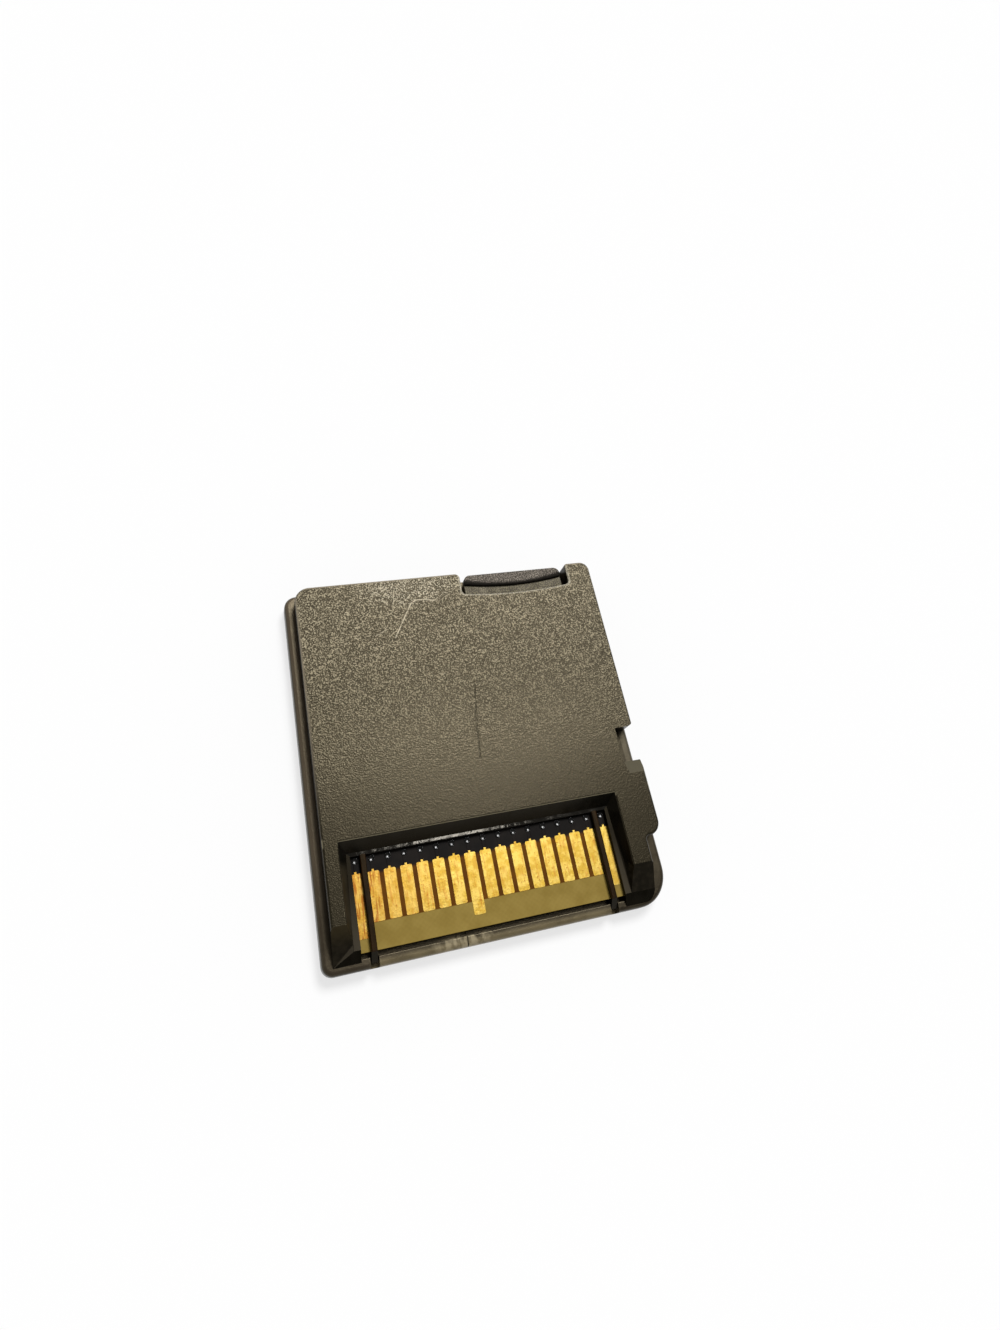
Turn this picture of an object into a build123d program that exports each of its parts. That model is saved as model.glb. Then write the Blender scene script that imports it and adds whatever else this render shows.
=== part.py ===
from build123d import *
import os

# Game cartridge with a memory card in its push-push socket. Millimetres.
# The origin is the centre of the label face, which lies on the table. +Z points out of the contact face,
# +Y towards the end with the card slot, and the contacts are at the -Y end.

# Overall size
width = 33.0
length = 35.0
thickness = 3.8

# Shells
wall = 0.8
floor = 0.7
past = 1.0
tiny = 0.01
edge_round = 0.22
base_round = 0.4
ledge_round = 0.4
bar_round = 0.12
left_ledge = 0.91
left_leg_ledge = 0.6
right_leg_ledge = 0.35
end_wall = 0.9
corner_top_left = 1.2
corner_top_right = 1.0
corner_bottom_left = 1.0
corner_bottom_right = 3.1
corner_rear_left = 1.5
foot_step = 1.7
foot_length = 5.9
foot_round = 1.25
foot_inner_round = 0.35
leg_left = 1.4
leg_right = 2.0
leg_bevel_length = 3.65
leg_round = 1.0
shelf = 0.8

# Lock notch in the right edge
lock_depth = 2.0
lock_top = -1.07
lock_length = 4.6
lock_ramp = 1.25
lock_ramp_drop = 0.45
lock_lean = 0.2
lock_taper = 0.35
lock_round = 0.65
lock_flare = 0.08

# Contact window
window_height = 10.4
window_bevel = 0.75
window_bevel_top = 1.0
window_lip = 0.3
window_lip_rise = 0.5
window_lip_round = 0.08
brink_round = 0.18
window_flare = 0.4
rib_width = 0.55
rib_round = 0.1
rib_bevel = 0.9
rib_slot_gap = 0.12
rib_slot_floor = 0.9

# Board and contacts
board_stand = 0.5
board_thickness = 0.8
board_gap = 0.2
board_end_gap = 0.4
parting_drop = 0.1
seat_gap = 0.03
contact_count = 17
contact_pitch = 1.5
contact_width = 1.08
end_contact_width = 1.0
end_contact_shift = 0.07
contact_thickness = 0.03
contact_length = 4.15
long_contact_extra = 1.15
long_contact_numbers = (1, 8, 17)
contact_start = 6.35
contact_nub = 0.2
nub_overlap = 0.02

# Pegs that place the board and join the shells
peg_diameter = 1.0
peg_clearance = 0.1
peg_inset = 1.6
peg_engagement = 0.75
boss_wall = 0.6

# Memory card, 11 by 15 type, with its contacts and grip lip facing +Z
card_width = 11.0
card_length = 15.0
card_thickness = 0.7
card_edge = 0.08
card_lip_rise = 0.3
card_lip_depth = 1.5
card_lip_side = 0.85
card_lip_round = 0.2
card_step = 1.3
card_step_length = 6.4
card_catch_start = 7.9
card_catch_length = 1.2
card_catch_depth = 0.7
pad_count = 8
pad_pitch = 1.1
pad_width = 0.8
pad_length = 2.9
pad_inset = 0.9
pad_first = 1.0
pad_recess = 0.05
pad_thickness = 0.03

# Finger notch in the shells above the card
notch_shoulder = 2.78
notch_gap_left = 0.6
notch_gap_right = 0.42
notch_side_depth = 2.35
notch_depth = 2.72
notch_floor = 1.3
notch_round_left = 0.5
notch_round_right = 0.35
notch_inner_round = 0.4
slot_wall = 0.6

# Card socket
slide_gap = 0.07
sheet = 0.15
plate = 0.3
rail_gap = 0.1
rail_width = 1.25
channel_width = 1.65
channel_wall = 0.25
socket_back_wall = 0.55
socket_gap = 0.15
slot_gap = 0.05
over_push = 0.6
eject_travel = 3.4
terminal_width = 0.5
terminal_sheet = 0.12
terminal_play = 0.05
spring_diameter = 0.7
spring_wire = 0.12
spring_turns = 9
spring_length = 3.9
slider_width = 1.4
slider_arm = 2.2
pin_diameter = 0.25
pin_reach = 4.0
pin_play = 0.1
groove_depth = 0.35
groove_wall = 0.2
blade_sheet = 0.1
blade_inset = 0.5
blade_room = 0.3
blade_height = 0.6
blade_share = 0.8
nose_share = 0.6
tab_shares = (0.2, 0.8)
shoulder_play = 0.105
pin_bend = 0.175

# Label
label_side = 3.0
label_high = 1.5
label_low = 4.5
label_recess = 0.12
label_thickness = 0.1
label_margin = 0.1
label_round = 1.2

# Board components: plan sizes and heights
controller_height = 0.85
memory_size = (5.2, 4.0, 0.8)
regulator_size = (2.9, 1.6, 0.95)
crystal_size = (2.5, 2.0, 0.6)
inductor_size = (2.5, 2.0, 0.9)
capacitor_size = (1.0, 0.5, 0.5)
resistor_size = (1.0, 0.5, 0.35)
passive_end = 0.22
lead_width = 0.35
lead_sheet = 0.15
lead_foot = 0.45
component_margin = 1.2
component_gap = 0.85
column_gap = 0.35
capacitor_pitch = 1.5
tab_length = 0.95
tab_width = 1.2
upright_angle = 90
memory_lead_count = 4
regulator_lead_count = 3
capacitor_row = 5

# Heights worked out from the stack
board_bottom = floor + board_stand
board_top = board_bottom + board_thickness
parting = board_top - parting_drop
lip_z = board_top + window_lip_rise
card_bottom = board_top
card_top = card_bottom + card_thickness
shield_top = card_bottom - slide_gap
shield_bottom = shield_top - sheet
plate_bottom = card_top + slide_gap
plate_top = plate_bottom + plate
roof_under = plate_top + seat_gap
peg_top = board_top + peg_engagement

# Places worked out in plan
left = -width / 2
right = width / 2
top = length / 2
bottom = -length / 2
rear_left = left + left_ledge
left_leg_end = bottom + left_leg_ledge
right_leg_end = bottom + right_leg_ledge
leg_bevel_top = bottom + leg_bevel_length
cavity_end = bottom + end_wall
foot_x = right - foot_step
foot_y = bottom + foot_length
lock_x = right - lock_depth
lock_end = lock_top - lock_length
lock_high = lock_top + 2 * lock_round

notch_right = right - notch_shoulder
card_right = notch_right - notch_gap_right
card_left = card_right - card_width
card_end = top - card_length
card_middle = (card_left + card_right) / 2
notch_left = card_left - notch_gap_left
slot_y = top - notch_depth - slot_wall

cavity_left = rear_left + wall
cavity_top = top - wall
cavity_right = right - wall
cavity_low_right = lock_x - wall
cavity_lock_y = lock_top + wall
cavity_notch_x = notch_left - wall

window_left = rear_left + leg_left
window_right = foot_x - leg_right
window_top = bottom + window_height
window_middle = (window_left + window_right) / 2
frame_y = window_top + wall

board_left = cavity_left + board_gap
board_right = cavity_low_right - board_gap
board_end = cavity_end + board_end_gap
board_high = cavity_top - board_gap
board_notch_x = cavity_notch_x - board_gap

socket_left = card_left - rail_gap - rail_width
socket_right = card_right + rail_gap + channel_width + channel_wall
socket_front = slot_y - socket_gap
socket_inside = card_end - over_push - rail_gap
socket_back = socket_inside - socket_back_wall
channel_right = socket_right - channel_wall
board_notch_y = socket_back - board_gap

slider_x = channel_right - rail_gap - slider_width / 2
slider_back = socket_inside + spring_length
slider_front = socket_front - eject_travel - slide_gap
slider_bottom = shield_top + slide_gap
slider_top = plate_bottom - slide_gap
groove_half = pin_diameter / 2 + pin_play
pin_y = slider_back + groove_wall + groove_half + eject_travel

label_width = width - 2 * label_side
label_length = length - label_high - label_low
label_offset = (label_low - label_high) / 2

cavity_points = [
    (cavity_left, cavity_top), (cavity_notch_x, cavity_top), (cavity_notch_x, slot_y),
    (cavity_right, slot_y), (cavity_right, cavity_lock_y), (cavity_low_right, cavity_lock_y),
    (cavity_low_right, cavity_end), (cavity_left, cavity_end),
]
peg_places = [
    (cavity_left + peg_inset, cavity_top - peg_inset),
    (cavity_left + peg_inset, frame_y + peg_inset),
    (cavity_low_right - peg_inset, frame_y + peg_inset),
]


def block(x, y, z):
    """A box between three pairs of limits."""
    size = Box(x[1] - x[0], y[1] - y[0], z[1] - z[0], align=Align.MIN)
    return Pos(x[0], y[0], z[0]) * size


def prism(points, z):
    """A flat outline raised between two heights."""
    face = make_face(Polyline(*points, close=True))
    return Pos(0, 0, z[0]) * extrude(face, z[1] - z[0])


def side_prism(points, x):
    """An outline given in Y and Z, carried between two places along X."""
    corners = [(x[0], y, z) for y, z in points]
    face = make_face(Polyline(*corners, close=True))
    return extrude(face, x[1] - x[0], dir=(1, 0, 0))


def pin(x, y, diameter, z):
    """An upright cylinder between two heights."""
    standing = (Align.CENTER, Align.CENTER, Align.MIN)
    return Pos(x, y, z[0]) * Cylinder(diameter / 2, z[1] - z[0], align=standing)


def edges_near(shape, axis, z):
    """The shape's edges along an axis at one height."""
    return shape.edges().filter_by(axis).filter_by_position(Axis.Z, z - tiny, z + tiny)


def round_corner(face, x, y, radius):
    """The face with the corner nearest to a point rounded."""
    return fillet(face.vertices().sort_by_distance((x, y, 0))[0], radius)


def notch_face():
    """Finger notch in plan: straight sides and a shallow arc towards the contacts."""
    side = top - notch_side_depth
    middle = (notch_left + notch_right) / 2
    arc = ThreePointArc((notch_left, side), (middle, top - notch_depth), (notch_right, side))
    rim = Polyline((notch_right, side), (notch_right, top + past),
                   (notch_left, top + past), (notch_left, side))
    return make_face([arc] + list(rim.edges()))


def contact_places():
    """Centre along X and width of each contact, from the left."""
    places = []
    for number in range(1, contact_count + 1):
        x = window_middle + (number - (contact_count + 1) / 2) * contact_pitch
        if number == 1:
            places.append((number, x - end_contact_shift, end_contact_width))
        elif number == contact_count:
            places.append((number, x + end_contact_shift, end_contact_width))
        else:
            places.append((number, x, contact_width))
    return places


def rib_places():
    """Middles of the gaps beside the two outer contacts."""
    places = contact_places()
    gaps = []
    for a, b in ((places[0], places[1]), (places[-2], places[-1])):
        gaps.append(((a[1] + a[2] / 2) + (b[1] - b[2] / 2)) / 2)
    return gaps


def make_front_shell():
    """Lower half: floor with the label recess, rim, board shelf, rails, pegs and the notch floor."""
    plan = make_face(Polyline((left, top), (right, top), (right, bottom), (left, bottom), close=True))
    plan = round_corner(plan, left, top, corner_top_left)
    plan = round_corner(plan, right, top, corner_top_right)
    plan = round_corner(plan, right, bottom, corner_bottom_right)
    plan = round_corner(plan, left, bottom, corner_bottom_left)
    shell = extrude(plan, parting)
    shell = fillet(shell.faces().sort_by(Axis.Z)[0].edges(), base_round)
    shell = fillet(shell.faces().sort_by(Axis.Z)[-1].edges(), ledge_round)
    shell -= prism(cavity_points, (board_bottom, parting + past))
    bar_edge = edges_near(shell, Axis.X, parting).sort_by_distance((window_middle, cavity_end, parting))[0]
    shell = fillet(bar_edge, bar_round)
    inner = offset(make_face(Polyline(*cavity_points, close=True)), -shelf, kind=Kind.INTERSECTION)
    shell -= Pos(0, 0, floor) * extrude(inner, board_stand)
    shell -= block((notch_left, notch_right), (slot_y - seat_gap, top + past), (notch_floor, parting + past))
    middle_y = board_end + contact_start - contact_length / 2
    rail_y = (middle_y - shelf / 2, middle_y + shelf / 2)
    shell += block((cavity_left, cavity_low_right), rail_y, (floor, board_bottom))
    for x in (card_left + card_width / 4, card_right - card_width / 4):
        rail = (x - shelf / 2, x + shelf / 2)
        shell += block(rail, (socket_back, slot_y), (floor, shield_bottom))
    for x in rib_places():
        slot = rib_width / 2 + rib_slot_gap
        shell -= block((x - slot, x + slot), (bottom - past, board_end), (rib_slot_floor, parting + past))
    for x, y in peg_places:
        shell += pin(x, y, peg_diameter, (floor, peg_top))
    recess = Pos(0, label_offset) * RectangleRounded(label_width, label_length, label_round)
    shell -= extrude(recess, label_recess)
    return shell


def make_rear_shell():
    """Upper half: roof, legs, contact window with its bevel and lip, ribs, lock notch and finger notch."""
    corners = [
        (rear_left, top), (right, top), (right, foot_y), (foot_x, foot_y),
        (foot_x, right_leg_end), (window_middle, right_leg_end),
        (window_middle, left_leg_end), (rear_left, left_leg_end),
    ]
    plan = make_face(Polyline(*corners, close=True))
    plan = round_corner(plan, rear_left, top, corner_rear_left)
    plan = round_corner(plan, right, top, corner_top_right)
    plan = round_corner(plan, right, foot_y, foot_round)
    plan = round_corner(plan, foot_x, foot_y, foot_inner_round)
    plan = round_corner(plan, foot_x, right_leg_end, leg_round)
    plan -= notch_face()
    for x in (notch_left, notch_right):
        plan = round_corner(plan, x, top - notch_side_depth, notch_inner_round)
    plan = round_corner(plan, notch_left, top, notch_round_left)
    plan = round_corner(plan, notch_right, top, notch_round_right)
    shell = extrude(plan, thickness - parting)
    shell = Pos(0, 0, parting) * shell
    shell = fillet(shell.faces().sort_by(Axis.Z)[-1].edges(), edge_round)

    # hollow for the board's components, and the board's own pocket
    hollow = prism(cavity_points, (parting - past, roof_under))
    hollow &= block((left, right), (frame_y, top), (0, thickness))
    shell -= hollow
    shell -= prism(cavity_points, (parting - past, board_top + seat_gap))
    shell -= block((card_left - rail_gap * 2, card_right + rail_gap * 2), (slot_y - past, top),
                   (0, card_top + slide_gap + slot_gap))

    # lock notch, with a ramp at the end nearer the contacts
    brow_x = right + lock_flare
    lock_face = make_face(Polyline(
        (right + past, lock_high), (brow_x, lock_high), (brow_x, lock_top), (lock_x, lock_top),
        (lock_x, lock_end + lock_ramp), (lock_x + lock_taper, lock_end), (right + past, lock_end),
        close=True))
    lock = extrude(round_corner(lock_face, brow_x, lock_top, lock_round), thickness + past)
    lock_stop = lock_end + lock_ramp
    lock &= side_prism([(lock_high, thickness + past), (lock_high, 0), (lock_stop + lock_lean, 0),
                        (lock_stop + lock_lean, parting), (lock_stop, thickness - lock_ramp_drop),
                        (lock_end, thickness), (lock_end, thickness + past)], (left, right + 2 * past))
    shell -= lock

    # bevelled ends of the two legs
    leg_ends = [(left_leg_end, (left - past, window_middle)), (right_leg_end, (window_middle, right + past))]
    for end, sides in leg_ends:
        bevel = [(bottom - past, parting), (end, parting), (leg_bevel_top, thickness),
                 (leg_bevel_top, thickness + past), (bottom - past, thickness + past)]
        shell -= side_prism(bevel, sides)

    # contact window: bevelled sides down to a flat lip, then straight to the board
    low_left = window_left + window_bevel
    low_right = window_right - window_bevel
    low_top = window_top - window_bevel_top
    low = Plane.XY.offset(lip_z) * make_face(Polyline(
        (low_left - window_flare, bottom - past), (low_left, low_top),
        (low_right, low_top), (low_right + window_flare, bottom - past), close=True))
    high = Plane.XY.offset(thickness) * make_face(Polyline(
        (window_left, bottom - past), (window_left, window_top),
        (window_right, window_top), (window_right, bottom - past), close=True))
    shell -= loft([low, high], ruled=True)
    leg_y = (window_top + leg_bevel_top) / 2
    brinks = [(window_middle, window_top), (window_left, leg_y), (window_right, leg_y)]
    rims = shell.edges().filter_by_position(Axis.Z, thickness - tiny, thickness + tiny)
    shell = fillet([rims.sort_by_distance((x, y, thickness))[0] for x, y in brinks], brink_round)
    inset = window_bevel + window_lip
    lip_y = low_top - window_lip
    shell -= block((window_left + inset, window_right - inset), (bottom - past, lip_y), (0, thickness))
    lip_edge = edges_near(shell, Axis.X, lip_z)
    shell = fillet(lip_edge.sort_by_distance((window_middle, lip_y, lip_z))[0], window_lip_round)

    # low ribs beside the outer contacts, from the lip into slots in the front shell's end wall
    rib_base = board_top + seat_gap
    rib_end = bottom + base_round
    rib_foot = rib_slot_floor + seat_gap
    rib_root = lip_y + window_lip / 2
    rib_inner = board_end - seat_gap
    rib_profile = [(rib_root, rib_base), (rib_inner, rib_base), (rib_inner, rib_foot), (rib_end, rib_foot),
                   (rib_end, lip_z - rib_bevel), (rib_end + rib_bevel, lip_z), (rib_root, lip_z)]
    for x in rib_places():
        rib = side_prism(rib_profile, (x - rib_width / 2, x + rib_width / 2))
        shell += fillet(edges_near(rib, Axis.Y, lip_z), rib_round)

    # bosses that take the pegs
    for x, y in peg_places:
        boss = pin(x, y, peg_diameter + 2 * boss_wall, (board_top + seat_gap, roof_under))
        shell += boss - pin(x, y, peg_diameter + peg_clearance, (0, peg_top + peg_clearance))
    return shell


def make_label():
    """Bare sticker in the recess of the front face."""
    plan = RectangleRounded(label_width - 2 * label_margin, label_length - 2 * label_margin, label_round)
    return Pos(0, label_offset, label_recess - label_thickness) * extrude(plan, label_thickness)


def make_circuit_board():
    """Board: full width at the contacts, cut away at the upper right for the card socket."""
    points = [
        (board_left, board_high), (board_notch_x, board_high), (board_notch_x, board_notch_y),
        (board_right, board_notch_y), (board_right, board_end), (board_left, board_end),
    ]
    board = prism(points, (board_bottom, board_top))
    for x, y in peg_places:
        board -= pin(x, y, peg_diameter + 2 * peg_clearance, (0, thickness))
    return board


def make_edge_contacts():
    """Gold fingers, the outer two and the eighth reaching nearer the end, each with a small nub."""
    fingers = []
    start = board_end + contact_start
    for number, x, across in contact_places():
        reach = contact_length
        if number in long_contact_numbers:
            reach += long_contact_extra
        finger = Pos(x, start - reach / 2) * RectangleRounded(across, reach, across / 8)
        nub = Pos(x, start + contact_nub / 2 - nub_overlap) * Rectangle(contact_nub, contact_nub)
        fingers.append(Pos(0, 0, board_top) * extrude(finger + nub, contact_thickness))
    return fingers


def card_plan():
    """Memory card in plan, with its step and catch notch on the +X side."""
    step_x = card_right - card_step
    shoulder = card_end + card_step_length
    catch = card_end + card_catch_start
    catch_x = card_right - card_catch_depth
    plan = make_face(Polyline(
        (card_left, card_end), (step_x, card_end), (step_x, shoulder),
        (card_right, shoulder + card_step), (card_right, catch), (catch_x, catch),
        (catch_x, catch + card_catch_length / 2), (card_right, catch + card_catch_length),
        (card_right, top), (card_left, top), close=True))
    for x in (card_left, card_right):
        plan = round_corner(plan, x, top, card_catch_depth)
    for x in (card_left, step_x):
        plan = round_corner(plan, x, card_end, card_lip_rise)
    return plan


def pad_places():
    """Centres of the memory card's pads along X."""
    return [card_left + pad_first + number * pad_pitch for number in range(pad_count)]


def make_memory_card():
    """Card body with recessed pads and the raised grip lip with its curved inner edge."""
    card = Pos(0, 0, card_bottom) * extrude(card_plan(), card_thickness)
    card = fillet(card.faces().sort_by(Axis.Z)[0].edges(), card_edge)
    side = top - card_lip_side
    arc = ThreePointArc((card_left - past, side), (card_middle, top - card_lip_depth),
                        (card_right + past, side))
    rim = Polyline((card_right + past, side), (card_right + past, top + past),
                   (card_left - past, top + past), (card_left - past, side))
    lip_plan = make_face([arc] + list(rim.edges())) & card_plan()
    lip_base = card_edge * 2
    lip = Pos(0, 0, card_bottom + lip_base) * extrude(lip_plan, card_thickness + card_lip_rise - lip_base)
    brow = lip.faces().sort_by(Axis.Z)[-1].edges()
    inner = brow.sort_by(Axis.Y)[0]
    lip = fillet(inner, card_lip_round)
    lip = fillet(edges_near(lip, Axis.X, card_top + card_lip_rise), card_edge)
    card += lip
    pad_y = (card_end + pad_inset, card_end + pad_inset + pad_length)
    for x in pad_places():
        card -= block((x - pad_width / 2, x + pad_width / 2), pad_y, (card_top - pad_recess, card_top + past))
    return card


def make_memory_card_contacts():
    """Gold pads at the bottom of the card's recesses."""
    pad_y = (card_end + pad_inset, card_end + pad_inset + pad_length)
    pad_z = (card_top - pad_recess, card_top - pad_recess + pad_thickness)
    return [block((x - pad_width / 2, x + pad_width / 2), pad_y, pad_z) for x in pad_places()]


def make_socket_housing():
    """Moulded socket body: plate over the card, guide rail, back wall and the slider's channel wall."""
    whole_y = (socket_back, socket_front)
    deep = (shield_top, plate_bottom + seat_gap)
    body = block((socket_left, socket_right), whole_y, (plate_bottom, plate_top))
    body += block((socket_left, card_left - rail_gap), whole_y, deep)
    body += block((socket_left, socket_right), (socket_back, socket_inside), deep)
    body += block((channel_right, socket_right), whole_y, deep)
    slot = terminal_width / 2 + terminal_play
    slot_end = card_end + pad_inset + pad_length
    for x in pad_places():
        body -= block((x - slot, x + slot), (socket_back - past, slot_end), (plate_bottom, thickness))
    blade_pocket = (card_left - rail_gap - blade_inset - blade_room, card_left)
    body -= block(blade_pocket, (socket_back - past, card_end + pad_length), (0, plate_bottom))
    pin_front = pin_y + pin_reach
    free = (slider_x - groove_half, slider_x + groove_half)
    body -= block(free, (pin_y - groove_half, pin_front - pin_diameter), (plate_bottom, thickness))
    snug = (slider_x - pin_diameter / 2, slider_x + pin_diameter / 2)
    body -= block(snug, (pin_y, pin_front), (plate_bottom, thickness))
    return body


def make_socket_shield():
    """Sheet tray under the card, turned up at both sides, with two solder tabs on the board."""
    whole_y = (socket_back, socket_front)
    rise = (shield_bottom, slider_top)
    tray = block((socket_left - sheet, socket_right + sheet), whole_y, (shield_bottom, shield_top))
    tray += block((socket_left - sheet, socket_left), whole_y, rise)
    tray += block((socket_right, socket_right + sheet), whole_y, rise)
    tab_y = socket_front - socket_back
    for share in tab_shares:
        y = socket_back + tab_y * share
        tab = (board_notch_x - tab_length, socket_left - sheet / 2)
        tray += block(tab, (y - tab_width / 2, y + tab_width / 2), (board_top, board_top + sheet))
    return tray


def make_socket_terminals():
    """Spring terminals: foot on the board, riser behind the housing, arm and nose over each pad."""
    half = terminal_sheet / 2
    foot_z = board_top + half
    arm_z = plate_bottom + plate / 2
    nose_z = card_top + slide_gap / 2 + half
    riser_y = socket_back - socket_gap - half
    nose_y = card_end + pad_inset + pad_length * nose_share
    path = [(riser_y - component_gap, foot_z), (riser_y, foot_z), (riser_y, arm_z),
            (nose_y - pad_length / 2, arm_z), (nose_y, nose_z), (nose_y + pad_length / 5, arm_z)]
    terminals = []
    for x in pad_places():
        line = Polyline(*[(x, y, z) for y, z in path])
        face = make_face(offset(line, half, side=Side.BOTH).edges())
        face = Pos(-terminal_width / 2, 0, 0) * face
        terminals.append(extrude(face, terminal_width, dir=(1, 0, 0)))
    return terminals


def make_detect_blade():
    """Thin blade beside the card's edge that shows when a card is in."""
    x = card_left - rail_gap - blade_inset
    tail = board_notch_y - component_margin / 2
    bend = card_end + pad_length / 3
    tip = card_end + pad_length * blade_share
    near = card_left - rail_gap
    points = [(x, tail), (x, bend), (near - blade_sheet, tip), (near, tip),
              (x + blade_sheet, bend), (x + blade_sheet, tail)]
    blade_top = board_top + blade_height
    blade = prism(points, (board_top + slide_gap, blade_top))
    blade += block((x, x + blade_sheet), (tail, board_notch_y - board_gap / 2), (board_top, blade_top))
    return blade


def make_eject_slider():
    """Slider beside the card: its arm sits in the card's step and its groove takes the latch pin."""
    x0 = slider_x - slider_width / 2
    x1 = slider_x + slider_width / 2
    step_x = card_right - card_step + rail_gap
    shoulder = card_end + card_step_length + rail_gap - shoulder_play
    arm_back = shoulder - slider_arm
    points = [(x1, slider_back), (x1, slider_front), (x0, slider_front), (x0, shoulder + x0 - step_x),
              (step_x, shoulder), (step_x, arm_back), (x0, arm_back), (x0, slider_back)]
    slider = prism(points, (slider_bottom, slider_top))
    groove_x = (slider_x - groove_half, slider_x + groove_half)
    groove_y = (pin_y - eject_travel - groove_half, pin_y + over_push + groove_half)
    slider -= block(groove_x, groove_y, (slider_top - groove_depth, slider_top + past))
    return slider


def make_eject_spring():
    """Coil spring between the socket's back wall and the slider."""
    radius = (spring_diameter - spring_wire) / 2
    height = spring_length - spring_wire
    path = Helix(pitch=height / spring_turns, height=height, radius=radius)
    section = Plane(path @ 0, z_dir=path % 0) * Circle(spring_wire / 2)
    coil = sweep(section, path=path, is_frenet=True)
    middle = (shield_top + plate_bottom) / 2
    return Pos(slider_x, socket_inside + spring_wire / 2, middle) * Rot(-90, 0, 0) * coil


def make_latch_pin():
    """Bent wire: one end held in the housing, the other standing in the slider's groove."""
    z = plate_bottom + plate / 2
    low = slider_top - groove_depth + pin_play / 2
    path = FilletPolyline((slider_x, pin_y + pin_reach, z), (slider_x, pin_y, z), (slider_x, pin_y, low),
                          radius=pin_bend)
    section = Plane(path @ 0, z_dir=path % 0) * Circle(pin_diameter / 2)
    return sweep(section, path=path)


def component(place, size):
    """Plain package standing on the board."""
    plan = Pos(*place) * RectangleRounded(size[0], size[1], min(size[:2]) / 20)
    return Pos(0, 0, board_top) * extrude(plan, size[2])


def leads(place, size, count):
    """Bent leads on both long sides of a package."""
    made = []
    mid = board_top + size[2] / 2
    pitch = size[0] / count
    for side in (-1, 1):
        edge = place[1] + side * size[1] / 2
        near = sorted((edge, edge + side * (lead_sheet * 2)))
        post = sorted((edge + side * lead_sheet, edge + side * lead_sheet * 2))
        foot = sorted((edge + side * lead_sheet, edge + side * (lead_sheet * 2 + lead_foot)))
        for number in range(count):
            x = place[0] + (number - (count - 1) / 2) * pitch
            across = (x - lead_width / 2, x + lead_width / 2)
            lead = block(across, near, (mid - lead_sheet / 2, mid + lead_sheet / 2))
            lead += block(across, post, (board_top, mid + lead_sheet / 2))
            lead += block(across, foot, (board_top, board_top + lead_sheet))
            made.append(lead)
    return made


def passives(places, size):
    """Bodies and metal ends of small two-ended components, long side along X or Y."""
    bodies = []
    ends = []
    for x, y, turn in places:
        half = size[0] / 2
        spot = Pos(x, y, board_top) * Rot(0, 0, turn)
        middle = block((passive_end - half, half - passive_end), (-size[1] / 2, size[1] / 2), (0, size[2]))
        cap = block((-half, passive_end - half), (-size[1] / 2, size[1] / 2), (0, size[2]))
        bodies.append(spot * middle)
        ends.append(spot * cap)
        ends.append(spot * Rot(0, 0, 180) * cap)
    return bodies, ends


# Places of the components, from the board's edges and the socket
lead_reach = 2 * lead_sheet + lead_foot
capacitor_x = board_left + component_gap + capacitor_size[1] / 2
column_x = board_notch_x - tab_length - column_gap - regulator_size[0] / 2
controller_left = capacitor_x + capacitor_size[1] / 2 + component_gap
controller_right = column_x - regulator_size[0] / 2 - component_gap
controller_side = controller_right - controller_left
controller_top = cavity_top - 2 * peg_inset - component_margin
controller_place = (controller_left + controller_side / 2, controller_top - controller_side / 2)
controller_size = (controller_side, controller_side, controller_height)
memory_place = ((board_left + board_notch_x) / 2, frame_y + component_gap + lead_reach + memory_size[1] / 2)
regulator_y = controller_top - lead_reach - regulator_size[1] / 2
crystal_y = regulator_y - regulator_size[1] / 2 - lead_reach - component_gap - crystal_size[1] / 2
inductor_y = crystal_y - crystal_size[1] / 2 - component_gap - inductor_size[1] / 2
row_y = controller_top + component_gap
row_x = controller_place[0]
stack_y = controller_top - capacitor_size[0] / 2
row_start = row_x - (capacitor_row - 1) / 2 * capacitor_pitch
capacitor_places = [(row_start + n * capacitor_pitch, row_y, 0) for n in range(capacitor_row)]
stack = [stack_y - n * capacitor_pitch for n in range(capacitor_row)]
capacitor_places += [(capacitor_x, y, upright_angle) for y in stack]
resistor_y = (board_notch_y + frame_y) / 2
resistor_places = [(x - pad_pitch / 2, resistor_y, upright_angle) for x in pad_places()]

capacitor_bodies, capacitor_caps = passives(capacitor_places, capacitor_size)
resistor_bodies, resistor_caps = passives(resistor_places, resistor_size)

nodes = {
    "front_shell": make_front_shell(),
    "rear_shell": make_rear_shell(),
    "label": make_label(),
    "circuit_board": make_circuit_board(),
    "edge_contacts": make_edge_contacts(),
    "memory_card": make_memory_card(),
    "memory_card_contacts": make_memory_card_contacts(),
    "socket_housing": make_socket_housing(),
    "socket_shield": make_socket_shield(),
    "socket_terminals": make_socket_terminals(),
    "detect_blade": make_detect_blade(),
    "eject_slider": make_eject_slider(),
    "eject_spring": make_eject_spring(),
    "latch_pin": make_latch_pin(),
    "controller_chip": component(controller_place, controller_size),
    "memory_chip": component(memory_place, memory_size),
    "memory_chip_leads": leads(memory_place, memory_size, memory_lead_count),
    "voltage_regulator": component((column_x, regulator_y), regulator_size),
    "regulator_leads": leads((column_x, regulator_y), regulator_size, regulator_lead_count),
    "crystal": component((column_x, crystal_y), crystal_size),
    "inductor": component((column_x, inductor_y), inductor_size),
    "capacitors": capacitor_bodies,
    "capacitor_ends": capacitor_caps,
    "resistors": resistor_bodies,
    "resistor_ends": resistor_caps,
}

os.makedirs("parts", exist_ok=True)
for name, shape in nodes.items():
    if isinstance(shape, list):
        shape = Compound(children=[solid for piece in shape for solid in piece.solids()])
    export_step(shape, f"parts/{name}.step")
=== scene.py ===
import math

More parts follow.
